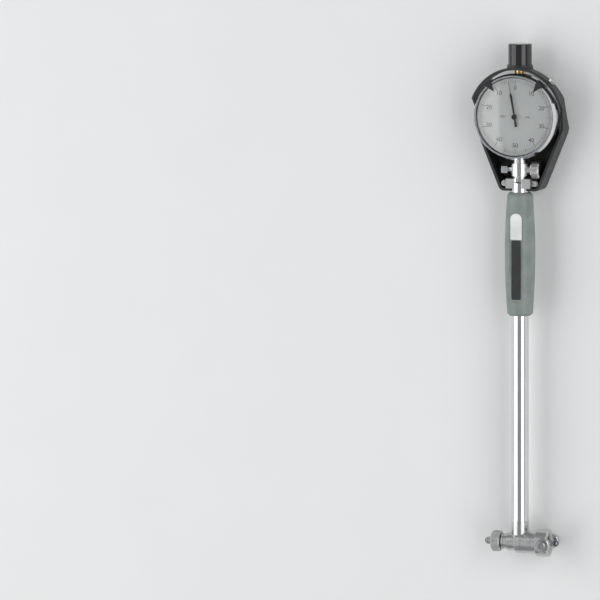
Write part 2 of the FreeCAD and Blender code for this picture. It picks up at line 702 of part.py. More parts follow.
def guard_shell():
    front = DIAL_Z
    outer = guard_outline(0, 0).extrude(V(0, 0, front))
    outer = outer.makeFillet(FOOT_CORNER, upright_edges_near(outer, FOOT_HALF_WIDTH, FOOT_DROP))
    inner = guard_outline(GUARD_WALL, GUARD_WALL).extrude(V(0, 0, front))
    inner = inner.makeFillet(FOOT_CORNER - GUARD_WALL,
                             upright_edges_near(inner, FOOT_HALF_WIDTH, FOOT_DROP - GUARD_WALL))
    back_edges = [edge for edge in outer.Edges if max(v.Point.z for v in edge.Vertexes) < 0.01]
    outer = outer.makeChamfer(GUARD_BACK_ROUND, back_edges)
    tray = outer.cut(inner)
    keep = prism([V(-40, DIAL_Y + y, z) for y, z in guard_side_profile()], V(80, 0, 0))
    shell = tray.common(keep)
    boss = turned([(BOSS_TOP - 5, 0), (BOSS_TOP - 5, BOSS_RADIUS + 1.0), (BOSS_TOP - 1.5, BOSS_RADIUS + 0.4),
                   (BOSS_TOP, BOSS_RADIUS), (BOSS_TOP, 0)], STEM, Y_DIR)
    boss = boss.cut(bar(GUARD_RADIUS - GUARD_WALL, -DIAL_Z, BEZEL_LIP, DIAL, Z_DIR))
    posts = []
    for side in (-1, 1):
        place = V(side * EAR_OFFSET, DIAL_Y - EAR_DROP, GUARD_WALL)
        posts.append(Part.makeCylinder(EAR_RADIUS, EAR_TOP - EAR_THICKNESS - GUARD_WALL, place, Z_DIR))
    shell = fused(shell, boss, *posts)
    shell = shell.cut(bar(STEM_RADIUS + 4 * FIT, GUARD_RADIUS - 6, BOSS_TOP + 1, STEM, Y_DIR))
    shell = shell.cut(bar(TUBE_RADIUS + GAP, -FOOT_DROP - 1, -BLOCK_BOTTOM, STEM, Y_DIR))
    for side in (-1, 1):
        hole = V(side * EAR_OFFSET, DIAL_Y - EAR_DROP, EAR_TOP - EAR_THICKNESS - 8)
        shell = shell.cut(Part.makeCylinder(EAR_SCREW_RADIUS + FIT, 9, hole, Z_DIR))
    return shell.cut(bar(LOCK_SCREW_RADIUS + FIT, BEZEL_RADIUS, LOCK_SCREW_OUTER, *lock_screw_axis()))


def guard_side_profile():
    """Side view of the guard, as distance above the dial centre and height."""
    step = DIAL_Z - 9.0
    return [(40, DIAL_Z), (12.2, DIAL_Z), (5.0, step + 1.0), (-12.0, step), (-60, step), (-60, 0),
            (-15.0, 0), (-2.4, 8.0), (10.0, 14.0), (20.0, 17.0), (40, 18.5)]


def mounting_block():
    top = STEM_HEIGHT + BLOCK_RISE
    body = block(V(-BLOCK_HALF_WIDTH, DIAL_Y - BLOCK_BOTTOM, GUARD_WALL),
                 V(BLOCK_HALF_WIDTH, DIAL_Y - BLOCK_TOP, top))
    low = EAR_TOP - EAR_THICKNESS
    ears = block(V(-EAR_OFFSET, DIAL_Y - EAR_DROP - EAR_RADIUS, low),
                 V(EAR_OFFSET, DIAL_Y - EAR_DROP + EAR_RADIUS, EAR_TOP))
    pieces = [ears]
    for side in (-1, 1):
        place = V(side * EAR_OFFSET, DIAL_Y - EAR_DROP, low)
        pieces.append(Part.makeCylinder(EAR_RADIUS, EAR_THICKNESS, place, Z_DIR))
    body = fused(body, *pieces)
    body = body.cut(bar(TUBE_RADIUS + FIT, -BLOCK_BOTTOM - 1, -BLOCK_TOP + 1, STEM, Y_DIR))
    body = body.cut(block(V(-BLOCK_SLOT / 2, DIAL_Y - BLOCK_BOTTOM - 1, STEM_HEIGHT),
                          V(BLOCK_SLOT / 2, DIAL_Y - BLOCK_TOP + 1, top + 1)))
    for side in (-1, 1):
        place = V(side * EAR_OFFSET, DIAL_Y - EAR_DROP, low)
        body = body.cut(Part.makeCylinder(EAR_SCREW_RADIUS + FIT, EAR_THICKNESS, place, Z_DIR))
    return body


def guard_screws():
    screws = []
    for side in (-1, 1):
        place = V(side * EAR_OFFSET, DIAL_Y - EAR_DROP, EAR_TOP)
        head = Part.makeCylinder(EAR_SCREW_HEAD, EAR_SCREW_HEAD_HEIGHT, place, Z_DIR)
        shank = Part.makeCylinder(EAR_SCREW_RADIUS, EAR_THICKNESS + 7, place - Z_DIR * (EAR_THICKNESS + 7), Z_DIR)
        slot = block(place + V(-EAR_SCREW_HEAD, -0.25, 0.8),
                     place + V(EAR_SCREW_HEAD, 0.25, EAR_SCREW_HEAD_HEIGHT))
        screws.append(fused(head, shank).cut(slot))
    return Part.Compound(screws)


# ---------------------------------------------------------------- stem clamp
CLAMP = STEM - Y_DIR * CLAMP_DROP


def split_sleeve():
    foot = -BLOCK_TOP + 0.2
    low = foot - SLEEVE_FOOT_HEIGHT
    sleeve = turned([(low, STEM_RADIUS + FIT), (low, TUBE_RADIUS), (foot, TUBE_RADIUS),
                     (foot, SLEEVE_RADIUS), (-SLEEVE_TOP, SLEEVE_RADIUS),
                     (-SLEEVE_TOP, STEM_RADIUS + FIT)], STEM, Y_DIR)
    return sleeve.cut(block(V(-SLEEVE_SLOT / 2, DIAL_Y - STEM_END - 5, STEM_HEIGHT),
                            V(SLEEVE_SLOT / 2, DIAL_Y - SLEEVE_TOP + 5, STEM_HEIGHT + 10)))


def clamp_ring():
    half = RING_HEIGHT / 2
    ring = bar(RING_RADIUS, -CLAMP_DROP - half, -CLAMP_DROP + half, STEM, Y_DIR)
    neck = bar(CLAMP_NECK_RADIUS, 0, CLAMP_NECK_END, CLAMP, X_DIR)
    stud = bar(CLAMP_SCREW_RADIUS, -STUD_END, 0, CLAMP, X_DIR)
    ring = fused(ring, neck, stud)
    ring = ring.cut(bar(SLEEVE_RADIUS + FIT, -CLAMP_DROP - half, -CLAMP_DROP + half, STEM, Y_DIR))
    return ring.cut(bar(CLAMP_SCREW_RADIUS + FIT, 0, CLAMP_NECK_END, CLAMP, X_DIR))


def clamp_nut():
    corner = NUT_FLATS / 2 / math.cos(math.radians(30))
    points = []
    for side in range(6):
        angle = math.radians(60 * side)
        points.append(CLAMP + V(-NUT_START, corner * math.cos(angle), corner * math.sin(angle)))
    nut = prism(points, V(-NUT_LENGTH, 0, 0))
    return nut.cut(bar(CLAMP_SCREW_RADIUS + FIT, -STUD_END, 0, CLAMP, X_DIR))


def clamp_knob():
    start = CLAMP_NECK_END + GAP
    end = start + KNOB_LENGTH
    return turned([(SLEEVE_RADIUS + FIT, 0), (SLEEVE_RADIUS + FIT, CLAMP_SCREW_RADIUS),
                   (start, CLAMP_SCREW_RADIUS), (start, KNOB_RADIUS - KNOB_CHAMFER),
                   (start + KNOB_CHAMFER, KNOB_RADIUS), (end - KNOB_CHAMFER, KNOB_RADIUS),
                   (end, KNOB_RADIUS - KNOB_CHAMFER), (end, 0)], CLAMP, X_DIR)


def lock_screw_axis():
    turn = math.radians(LOCK_SCREW_ANGLE)
    return V(0, DIAL_Y, DIAL_Z - LOCK_SCREW_DROP), V(math.sin(turn), math.cos(turn), 0)


def bezel_lock_screw():
    seat = GUARD_RADIUS + GAP
    return turned([(BEZEL_RADIUS + FIT, 0), (BEZEL_RADIUS + FIT, LOCK_SCREW_RADIUS),
                   (seat, LOCK_SCREW_RADIUS), (seat, LOCK_SCREW_HEAD),
                   (LOCK_SCREW_OUTER - 0.5, LOCK_SCREW_HEAD), (LOCK_SCREW_OUTER, LOCK_SCREW_HEAD - 0.5),
                   (LOCK_SCREW_OUTER, 0)], *lock_screw_axis())


# ---------------------------------------------------------------- tube, rod, grip
def stem_tube():
    return tube(TUBE_RADIUS, TUBE_BORE, -TUBE_BOTTOM, -TUBE_TOP, STEM, Y_DIR)


def transfer_rod():
    collar = -ROD_COLLAR_DROP
    collar_end = collar - ROD_COLLAR_LENGTH
    return turned([(-ROD_BOTTOM, 0), (-ROD_BOTTOM, ROD_RADIUS), (collar_end, ROD_RADIUS),
                   (collar_end, ROD_COLLAR_RADIUS), (collar, ROD_COLLAR_RADIUS),
                   (collar, ROD_RADIUS), (-ROD_TOP, ROD_RADIUS), (-ROD_TOP, 0)], STEM, Y_DIR)


def rod_bush(drop, length):
    return tube(TUBE_BORE - FIT, ROD_RADIUS + FIT, -drop - length, -drop, STEM, Y_DIR)


def rod_return_spring():
    start = -ROD_COLLAR_DROP + 0.1
    end = -UPPER_BUSH_DROP - UPPER_BUSH_LENGTH - 0.1
    return coil(ROD_COLLAR_RADIUS - ROD_SPRING_WIRE, ROD_SPRING_WIRE, start, end,
                ROD_SPRING_TURNS, STEM, Y_DIR)


def grip_sleeve():
    bore = TUBE_RADIUS + FIT
    top = -GRIP_TOP
    bottom = -GRIP_BOTTOM
    dome = GRIP_NECK_DROP - GRIP_TOP
    grip = turned([(top, bore), (top, GRIP_NECK_RADIUS - dome * 0.55),
                   ((top - dome * 0.3, GRIP_NECK_RADIUS - dome * 0.16), (-GRIP_NECK_DROP, GRIP_NECK_RADIUS)),
                   ((-GRIP_BELLY_DROP, GRIP_BELLY_RADIUS), (-GRIP_TAIL_DROP, GRIP_TAIL_RADIUS)),
                   (bottom + GRIP_END_CHAMFER, GRIP_TAIL_RADIUS - 0.2),
                   (bottom, GRIP_TAIL_RADIUS - 0.2 - GRIP_END_CHAMFER), (bottom, bore)], STEM, Y_DIR)
    half = WINDOW_WIDTH / 2
    floor = STEM_HEIGHT + WINDOW_RISE
    window = block(V(-half, DIAL_Y - WINDOW_BOTTOM + half, floor),
                   V(half, DIAL_Y - WINDOW_TOP - half, floor + 5))
    for drop in (WINDOW_TOP + half, WINDOW_BOTTOM - half):
        window = window.fuse(Part.makeCylinder(half, 5, V(0, DIAL_Y - drop, floor), Z_DIR))
    return grip.cut(window)


def label_plate(width, top, bottom, top_corner):
    """Thin plate on the window's floor, with its own corner radius at the top."""
    floor = STEM_HEIGHT + WINDOW_RISE
    plate = block(V(-width / 2, DIAL_Y - bottom, floor), V(width / 2, DIAL_Y - top, floor + LABEL_THICKNESS))
    for corner, y in ((top_corner, DIAL_Y - top), (LABEL_CORNER, DIAL_Y - bottom)):
        edges = [edge for edge in plate.Edges if abs(edge.Vertexes[0].Z - edge.Vertexes[-1].Z) > 0.1
                 and abs(edge.Vertexes[0].Y - y) < 0.01]
        plate = plate.makeFillet(corner, edges)
    return plate


# ---------------------------------------------------------------- measuring head
def head_body():
    body = turned([(THREAD_END, 0), (THREAD_END, THREAD_RADIUS - RING_GROOVE),
                   (THREAD_END + RING_GROOVE, THREAD_RADIUS), (THREAD_END + 1.6, THREAD_RADIUS),
                   (THREAD_END + 1.6, THREAD_RADIUS - RING_GROOVE),
                   (THREAD_END + 2.2, THREAD_RADIUS - RING_GROOVE), (THREAD_END + 2.2, THREAD_RADIUS),
                   (ANVIL_SIDE_END, THREAD_RADIUS), (ANVIL_SIDE_END, ANVIL_SIDE_RADIUS - 0.5),
                   (ANVIL_SIDE_END + 0.5, ANVIL_SIDE_RADIUS), (HEAD_SHOULDER, ANVIL_SIDE_RADIUS),
                   (HEAD_SHOULDER, HEAD_RADIUS - 0.5), (HEAD_SHOULDER + 0.5, HEAD_RADIUS),
                   (HEAD_END, HEAD_RADIUS), (HEAD_END, 0)], HEAD, X_DIR)
    neck = bar(TUBE_RADIUS - FIT, 0, SOCKET_TOP, HEAD, Y_DIR)
    spigot = bar(TUBE_BORE - FIT, 0, SOCKET_TOP + SPIGOT_LENGTH, HEAD, Y_DIR)
    body = fused(body, neck, spigot)
    half = CRANK_THICKNESS / 2 + GAP
    reach = CRANK_ARM + CRANK_HUB + GAP + 0.1
    back = -CRANK_BALL - 0.8
    chamber = block(HEAD + V(back, back, -half), HEAD + V(reach, reach, half))
    body = body.cut(chamber)
    body = body.cut(bar(ROD_BORE, 0, SOCKET_TOP + SPIGOT_LENGTH, HEAD + Y_DIR * (CRANK_ARM - 1), Y_DIR))
    body = body.cut(bar(PLUNGER_RADIUS + FIT, reach - 1, BUSH_START + 1, HEAD, X_DIR))
    body = body.cut(bar(HEAD_BORE, BUSH_START, HEAD_END, HEAD, X_DIR))
    body = body.cut(bar(ANVIL_RADIUS + FIT, THREAD_END, ANVIL_INNER + FIT, HEAD, X_DIR))
    body = body.cut(bar(CRANK_PIN_RADIUS + FIT, -HEAD_RADIUS, HEAD_RADIUS, CRANK_PIVOT, Z_DIR))
    for side in (-1, 1):
        origin = HEAD + Y_DIR * (side * GUIDE_PIN_OFFSET)
        body = body.cut(bar(GUIDE_PIN_RADIUS + FIT, GUIDE_PIN_START - 0.1, HEAD_END, origin, X_DIR))
    return body


def anvil():
    return turned([(ANVIL_OUTER, 0), (ANVIL_OUTER, ANVIL_TIP_RADIUS + 0.2),
                   (ANVIL_OUTER + 0.4, ANVIL_RADIUS), (ANVIL_INNER, ANVIL_RADIUS), (ANVIL_INNER, 0)],
                  HEAD, X_DIR)


def anvil_tip():
    end = ANVIL_OUTER - ANVIL_TIP_LENGTH
    rim = (end + TIP_CROWN, ANVIL_TIP_RADIUS)
    return turned([(ANVIL_OUTER, 0), (ANVIL_OUTER, ANVIL_TIP_RADIUS), rim, crown(rim, end)], HEAD, X_DIR)


def anvil_lock_nut():
    near = THREAD_END - GAP
    far = near - LOCK_NUT_LENGTH
    rim = LOCK_NUT_RADIUS - LOCK_NUT_CHAMFER
    return turned([(near, ANVIL_RADIUS + FIT), (near, rim), (near - LOCK_NUT_CHAMFER, LOCK_NUT_RADIUS),
                   (far + LOCK_NUT_CHAMFER, LOCK_NUT_RADIUS), (far, rim), (far, ANVIL_RADIUS + FIT)],
                  HEAD, X_DIR)


def bell_crank():
    low = STEM_HEIGHT - CRANK_THICKNESS / 2
    pivot = V(CRANK_PIVOT.x, CRANK_PIVOT.y, low)
    half = CRANK_ARM_WIDTH / 2
    to_rod = block(pivot + V(-CRANK_ARM, -half, 0), pivot + V(0, half, CRANK_THICKNESS))
    to_plunger = block(pivot + V(-half, -CRANK_ARM, 0), pivot + V(half, 0, CRANK_THICKNESS))
    hub = Part.makeCylinder(CRANK_HUB, CRANK_THICKNESS, pivot, Z_DIR)
    balls = [Part.makeCylinder(CRANK_BALL, CRANK_THICKNESS, pivot - X_DIR * CRANK_ARM, Z_DIR),
             Part.makeCylinder(CRANK_BALL, CRANK_THICKNESS, pivot - Y_DIR * CRANK_ARM, Z_DIR)]
    crank = fused(hub, to_rod, to_plunger, *balls)
    return crank.cut(Part.makeCylinder(CRANK_PIN_RADIUS + FIT, CRANK_THICKNESS, pivot, Z_DIR))


def crank_pin():
    return bar(CRANK_PIN_RADIUS, -CRANK_PIN_HALF_LENGTH, CRANK_PIN_HALF_LENGTH, CRANK_PIVOT, Z_DIR)


def plunger_bush():
    start = BUSH_START + FIT
    return turned([(start, BUSH_POCKET_RADIUS), (start, HEAD_BORE - FIT), (HEAD_END, HEAD_BORE - FIT),
                   (HEAD_END, NOSE_RADIUS), (BRIDGE_FRONT + GAP, NOSE_RADIUS),
                   (BRIDGE_FRONT + GAP, NOSE_RADIUS - 0.4),
                   (BRIDGE_FRONT + GAP + CLIP_THICKNESS, NOSE_RADIUS - 0.4),
                   (BRIDGE_FRONT + GAP + CLIP_THICKNESS, NOSE_RADIUS), (NOSE_END, NOSE_RADIUS),
                   (NOSE_END, PLUNGER_RADIUS + FIT), (BUSH_SHOULDER, PLUNGER_RADIUS + FIT),
                   (BUSH_SHOULDER, BUSH_POCKET_RADIUS)], HEAD, X_DIR)


def contact_plunger():
    collar_end = PLUNGER_COLLAR + PLUNGER_COLLAR_LENGTH
    nose_end = PLUNGER_INNER + PLUNGER_NOSE_LENGTH
    return turned([(PLUNGER_INNER, 0), (PLUNGER_INNER, PLUNGER_NOSE_RADIUS), (nose_end, PLUNGER_NOSE_RADIUS),
                   (nose_end, PLUNGER_RADIUS), (PLUNGER_COLLAR, PLUNGER_RADIUS),
                   (PLUNGER_COLLAR, PLUNGER_COLLAR_RADIUS), (collar_end, PLUNGER_COLLAR_RADIUS),
                   (collar_end, PLUNGER_RADIUS), (PLUNGER_OUTER, PLUNGER_RADIUS), (PLUNGER_OUTER, 0)],
                  HEAD, X_DIR)


def contact_tip():
    end = PLUNGER_OUTER + TIP_LENGTH
    rim = (end - 2 * TIP_CROWN, PLUNGER_RADIUS - 0.1)
    return turned([(PLUNGER_OUTER, 0), (PLUNGER_OUTER, rim[1]), rim, crown(rim, end)], HEAD, X_DIR)


def plunger_spring():
    return coil(PLUNGER_COLLAR_RADIUS - PLUNGER_SPRING_WIRE / 2, PLUNGER_SPRING_WIRE,
                BUSH_START + 0.1, PLUNGER_COLLAR - 0.1, PLUNGER_SPRING_TURNS, HEAD, X_DIR)


def centring_bridge():
    """Cup that slides over the end of the head, with a flat on each side for its roller."""
    round_start = BRIDGE_FRONT - BRIDGE_ROUND
    cup = turned([(BRIDGE_BACK, HEAD_RADIUS + SLIDE_FIT), (BRIDGE_BACK, BRIDGE_RADIUS - 0.4),
                  (BRIDGE_BACK + 0.4, BRIDGE_RADIUS), (round_start, BRIDGE_RADIUS),
                  ((BRIDGE_FRONT - BRIDGE_ROUND * 0.293, BRIDGE_RADIUS - BRIDGE_ROUND * 0.293),
                   (BRIDGE_FRONT, BRIDGE_RADIUS - BRIDGE_ROUND)),
                  (BRIDGE_FRONT, NOSE_RADIUS + SLIDE_FIT), (BRIDGE_FLOOR, NOSE_RADIUS + SLIDE_FIT),
                  (BRIDGE_FLOOR, HEAD_RADIUS + SLIDE_FIT)], HEAD, X_DIR)
    for side in (-1, 1):
        low, high = sorted((side * BRIDGE_FLAT, side * (BRIDGE_RADIUS + 1)))
        cup = cup.cut(block(HEAD + V(BRIDGE_BACK - 1, -BRIDGE_RADIUS, low),
                            HEAD + V(BRIDGE_FRONT + 1, BRIDGE_RADIUS, high)))
        origin = HEAD + X_DIR * ROLLER_AXIS
        cup = cup.cut(bar(ROLLER_SCREW_RADIUS + FIT, ROLLER_SCREW_INNER - FIT, BRIDGE_RADIUS, origin,
                          Z_DIR * side))
        pin_axis = HEAD + Y_DIR * (side * GUIDE_PIN_OFFSET)
        cup = cup.cut(bar(GUIDE_PIN_RADIUS + SLIDE_FIT, BRIDGE_FLOOR - 1, BRIDGE_FRONT + 1, pin_axis, X_DIR))
    return cup


def bridge_guide_pins():
    return Part.Compound([bar(GUIDE_PIN_RADIUS, GUIDE_PIN_START, GUIDE_PIN_END,
                              HEAD + Y_DIR * (side * GUIDE_PIN_OFFSET), X_DIR) for side in (-1, 1)])


def bridge_springs():
    return Part.Compound([coil(BRIDGE_SPRING_RADIUS, BRIDGE_SPRING_WIRE, HEAD_END + 0.1, BRIDGE_FLOOR - 0.1,
                               BRIDGE_SPRING_TURNS, HEAD + Y_DIR * (side * GUIDE_PIN_OFFSET), X_DIR)
                          for side in (-1, 1)])


def bridge_retaining_ring():
    start = BRIDGE_FRONT + GAP
    ring = tube(CLIP_RADIUS, NOSE_RADIUS - 0.4 + FIT, start + FIT, start + CLIP_THICKNESS - FIT, HEAD, X_DIR)
    return ring.cut(block(HEAD + V(start - 1, -CLIP_RADIUS - 1, -1.2), HEAD + V(start + 2, 0, 1.2)))


def roller(side):
    start = BRIDGE_FLAT + GAP
    end = start + ROLLER_WIDTH
    face = ROLLER_RADIUS - 0.4
    bore = ROLLER_SCREW_RADIUS + FIT
    return turned([(start, bore), (start, face), (start + 0.4, ROLLER_RADIUS), (end - 0.4, ROLLER_RADIUS),
                   (end, face), (end, bore)], HEAD + X_DIR * ROLLER_AXIS, Z_DIR * side)


def roller_screws():
    """Two shoulder screws. The outer face of the rear head touches the plane the gauge lies on."""
    under_head = BRIDGE_FLAT + GAP + ROLLER_WIDTH + GAP
    screws = []
    for side in (-1, 1):
        origin = HEAD + X_DIR * ROLLER_AXIS
        screw = turned([(ROLLER_SCREW_INNER, 0), (ROLLER_SCREW_INNER, ROLLER_SCREW_RADIUS),
                        (under_head, ROLLER_SCREW_RADIUS), (under_head, ROLLER_SCREW_HEAD),
                        (STEM_HEIGHT - 0.4, ROLLER_SCREW_HEAD), (STEM_HEIGHT, ROLLER_SCREW_HEAD - 0.4),
                        (STEM_HEIGHT, ROLLER_SOCKET), (STEM_HEIGHT - 1.2, ROLLER_SOCKET),
                        (STEM_HEIGHT - 1.2, 0)], origin, Z_DIR * side)
        screws.append(screw)
    return Part.Compound(screws)


# ---------------------------------------------------------------- build
PIECES = {
    "guard_shell": guard_shell,
    "guard_screws": guard_screws,
    "mounting_block": mounting_block,
    "split_sleeve": split_sleeve,
    "clamp_ring": clamp_ring,
    "clamp_nut": clamp_nut,
    "clamp_knob": clamp_knob,
    "indicator_case": indicator_case,
    "case_back_cover": case_back_cover,
    "back_cover_screws": back_cover_screws,
    "indicator_stem": indicator_stem,
    "top_bushing": top_bushing,
    "dust_cap": dust_cap,
    "movement_plate": movement_plate,
    "movement_pillars": movement_pillars,
    "movement_screws": movement_screws,
    "spindle": spindle,
    "spindle_contact_point": spindle_contact_point,
    "spindle_guide_pin": spindle_guide_pin,
    "spring_post": spring_post,
    "spindle_return_spring": spindle_return_spring,
    "rack_pinion": rack_pinion,
    "rack_gear": lambda: gear_on(RACK_ARBOR),
    "centre_pinion": centre_pinion,
    "take_up_arbor": lambda: long_arbor(TAKE_UP_ARBOR),
    "take_up_gear": lambda: gear_on(TAKE_UP_ARBOR),
    "hairspring": hairspring,
    "pointer": pointer,
    "dial_face": dial_face,
    "bezel_ring": bezel_ring,
    "crystal": crystal,
    "tolerance_marker_left": lambda: tolerance_marker(-MARKER_ANGLE),
    "tolerance_marker_right": lambda: tolerance_marker(MARKER_ANGLE),
    "bezel_lock_screw": bezel_lock_screw,
    "stem_tube": stem_tube,
    "transfer_rod": transfer_rod,
    "upper_rod_bush": lambda: rod_bush(UPPER_BUSH_DROP, UPPER_BUSH_LENGTH),
    "lower_rod_bush": lambda: rod_bush(TUBE_BOTTOM - SPIGOT_LENGTH - GAP - LOWER_BUSH_LENGTH,
                                       LOWER_BUSH_LENGTH),
    "rod_return_spring": rod_return_spring,
    "grip_sleeve": grip_sleeve,
    "white_label_plate": lambda: label_plate(WHITE_LABEL_WIDTH, WHITE_LABEL_TOP, WHITE_LABEL_BOTTOM,
                                             WHITE_LABEL_WIDTH / 2 - 0.1),
    "black_label_plate": lambda: label_plate(BLACK_LABEL_WIDTH, BLACK_LABEL_TOP, BLACK_LABEL_BOTTOM,
                                             LABEL_CORNER),
    "head_body": head_body,
    "anvil": anvil,
    "anvil_tip": anvil_tip,
    "anvil_lock_nut": anvil_lock_nut,
    "bell_crank": bell_crank,
    "crank_pin": crank_pin,
    "plunger_bush": plunger_bush,
    "plunger_spring": plunger_spring,
    "contact_plunger": contact_plunger,
    "contact_tip": contact_tip,
    "centring_bridge": centring_bridge,
    "bridge_guide_pins": bridge_guide_pins,
    "bridge_springs": bridge_springs,
    "bridge_retaining_ring": bridge_retaining_ring,
    "front_roller": lambda: roller(1),
    "rear_roller": lambda: roller(-1),
    "roller_screws": roller_screws,
}

os.makedirs("parts", exist_ok=True)
for name, build in PIECES.items():
    shape = build()
    shape.exportStep("parts/" + name + ".step")
    print(name, "solids", len(shape.Solids), "volume", round(shape.Volume, 2), "valid", shape.isValid())
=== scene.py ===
"""Looks of the dial bore gauge: materials, printed dial, knurling, floor, light and camera.

Metres, in the frame of the CAD model: X along the measuring axis, Y along the stem towards the
dust cap, Z out of the dial. The gauge lies on its back and the camera looks down on it.
"""
import math

import bmesh
import bpy
from mathutils import Matrix, Vector


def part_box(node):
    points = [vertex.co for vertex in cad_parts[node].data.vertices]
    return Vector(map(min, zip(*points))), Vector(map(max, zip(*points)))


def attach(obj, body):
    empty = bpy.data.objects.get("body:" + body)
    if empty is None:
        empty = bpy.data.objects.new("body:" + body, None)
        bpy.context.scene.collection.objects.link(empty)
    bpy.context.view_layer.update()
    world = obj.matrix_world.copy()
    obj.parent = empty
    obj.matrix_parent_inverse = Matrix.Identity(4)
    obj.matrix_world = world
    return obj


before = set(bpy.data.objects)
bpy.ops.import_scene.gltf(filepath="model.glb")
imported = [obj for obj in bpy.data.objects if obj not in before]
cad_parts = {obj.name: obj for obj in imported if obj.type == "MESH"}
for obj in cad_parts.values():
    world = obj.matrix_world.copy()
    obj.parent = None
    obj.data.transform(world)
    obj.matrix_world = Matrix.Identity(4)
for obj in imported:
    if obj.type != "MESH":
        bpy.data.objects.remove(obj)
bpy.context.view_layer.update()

MM = 0.001
X_AXIS, Y_AXIS, Z_AXIS = Vector((1, 0, 0)), Vector((0, 1, 0)), Vector((0, 0, 1))

# ---------------------------------------------------------------- places read from the frame
def middle(node):
    low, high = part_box(node)
    return (low + high) / 2


DIAL = middle("dial_face")
DIAL.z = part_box("dial_face")[1].z
HEAD = middle("anvil")
STEM = middle("stem_tube")
CLAMP = middle("clamp_nut")


# ---------------------------------------------------------------- material helpers
class Shader:
    """A Principled material under construction."""

    def __init__(self, name):
        self.material = bpy.data.materials.new(name)
        self.material.use_nodes = True
        self.nodes = self.material.node_tree.nodes
        self.links = self.material.node_tree.links
        self.surface = self.nodes["Principled BSDF"]
        self.place = self.nodes.new("ShaderNodeTexCoord").outputs["Object"]

    def link(self, source, socket):
        if isinstance(source, (int, float)):
            socket.default_value = source
        elif isinstance(source, tuple):
            socket.default_value = (*source, 1) if len(source) == 3 and socket.type == "RGBA" else source
        else:
            self.links.new(source, socket)

    def math(self, operation, first, second=0.0, clamp=False):
        node = self.nodes.new("ShaderNodeMath")
        node.operation = operation
        node.use_clamp = clamp
        self.link(first, node.inputs[0])
        self.link(second, node.inputs[1])
        return node.outputs[0]

    def vector_math(self, operation, first, second=(0, 0, 0)):
        node = self.nodes.new("ShaderNodeVectorMath")
        node.operation = operation
        self.link(first, node.inputs[0])
        self.link(second, node.inputs[1])
        return node.outputs["Value"] if operation in ("DOT_PRODUCT", "LENGTH") else node.outputs["Vector"]

    def noise(self, size_mm, detail=3.0, roughness=0.5, vector=None):
        """Noise whose features are about so many millimetres across."""
        node = self.nodes.new("ShaderNodeTexNoise")
        node.inputs["Scale"].default_value = 1 / (size_mm * MM)
        node.inputs["Detail"].default_value = detail
        node.inputs["Roughness"].default_value = roughness
        self.link(vector or self.place, node.inputs["Vector"])
        return node.outputs["Fac"]

    def spread(self, value, low, high, out_low, out_high):
        """Maps a range of a value to another range, clamped."""
        node = self.nodes.new("ShaderNodeMapRange")
        node.clamp = True
        self.link(value, node.inputs["Value"])
        names = ("From Min", "From Max", "To Min", "To Max")
        for name, number in zip(names, (low, high, out_low, out_high)):
            node.inputs[name].default_value = number
        return node.outputs["Result"]

    def mix(self, share, first, second):
        node = self.nodes.new("ShaderNodeMix")
        node.data_type = "RGBA"
        self.link(share, node.inputs["Factor"])
        self.link(first, node.inputs[6])
        self.link(second, node.inputs[7])
        return node.outputs[2]

    def bump(self, height, depth_mm, normal=None):
        node = self.nodes.new("ShaderNodeBump")
        node.inputs["Strength"].default_value = 1.0
        node.inputs["Distance"].default_value = depth_mm * MM
        self.link(height, node.inputs["Height"])
        if normal:
            self.link(normal, node.inputs["Normal"])
        return node.outputs["Normal"]

    def soft_edges(self, radius_mm):
        node = self.nodes.new("ShaderNodeBevel")
        node.samples = 6
        node.inputs["Radius"].default_value = radius_mm * MM
        return node.outputs["Normal"]

    def edge_share(self, radius_mm):
        """Near 1 within a small radius of an edge, and 0 on open surface."""
        true_normal = self.nodes.new("ShaderNodeNewGeometry").outputs["Normal"]
        agreement = self.vector_math("DOT_PRODUCT", self.soft_edges(radius_mm), true_normal)
        return self.spread(agreement, 0.72, 0.98, 1.0, 0.0)

    def lathe_lines(self, centre, axis, pitch_mm):
        """Fine rings round an axis, on round walls and on end faces alike."""
        offset = self.vector_math("SUBTRACT", self.place, tuple(centre))
        along = self.vector_math("DOT_PRODUCT", offset, tuple(axis))
        away = self.vector_math("LENGTH", self.vector_math("CROSS_PRODUCT", offset, tuple(axis)))
        pair = self.nodes.new("ShaderNodeCombineXYZ")
        self.link(along, pair.inputs["X"])
        self.link(away, pair.inputs["Y"])
        return self.noise(pitch_mm, 4.0, 0.65, pair.outputs[0])

    def finish(self, color, roughness, normal, metallic=0.0, **constants):
        self.link(color, self.surface.inputs["Base Color"])
        self.link(roughness, self.surface.inputs["Roughness"])
        self.link(normal, self.surface.inputs["Normal"])
        self.surface.inputs["Metallic"].default_value = metallic
        for name, value in constants.items():
            self.surface.inputs[name.replace("_", " ")].default_value = value
        return self.material


def shade(color, factor):
    return tuple(channel * factor for channel in color)


def moulded(name, color, roughness, grain_mm, grain_depth_mm, worn=0.0, **constants):
    """Moulded plastic: fine grain, cloudy colour, and edges rubbed a little lighter."""
    shader = Shader(name)
    cloud = shader.spread(shader.noise(9.0, 4.0), 0.35, 0.65, 0.0, 1.0)
    tone = shader.mix(cloud, shade(color, 0.9), shade(color, 1.1))
    if worn:
        patches = shader.spread(shader.noise(1.5), 0.42, 0.62, 0.0, worn)
        rubbed = shader.math("MULTIPLY", shader.edge_share(0.25), patches)
        tone = shader.mix(rubbed, tone, tuple(min(1.0, channel * 2.2 + 0.03) for channel in color))
    gloss = shader.spread(shader.noise(5.0, 5.0), 0.3, 0.7, roughness * 0.88, roughness * 1.12)
    normal = shader.bump(shader.noise(grain_mm, 2.0), grain_depth_mm, shader.soft_edges(0.15))
    return shader.finish(tone, gloss, normal, **constants)


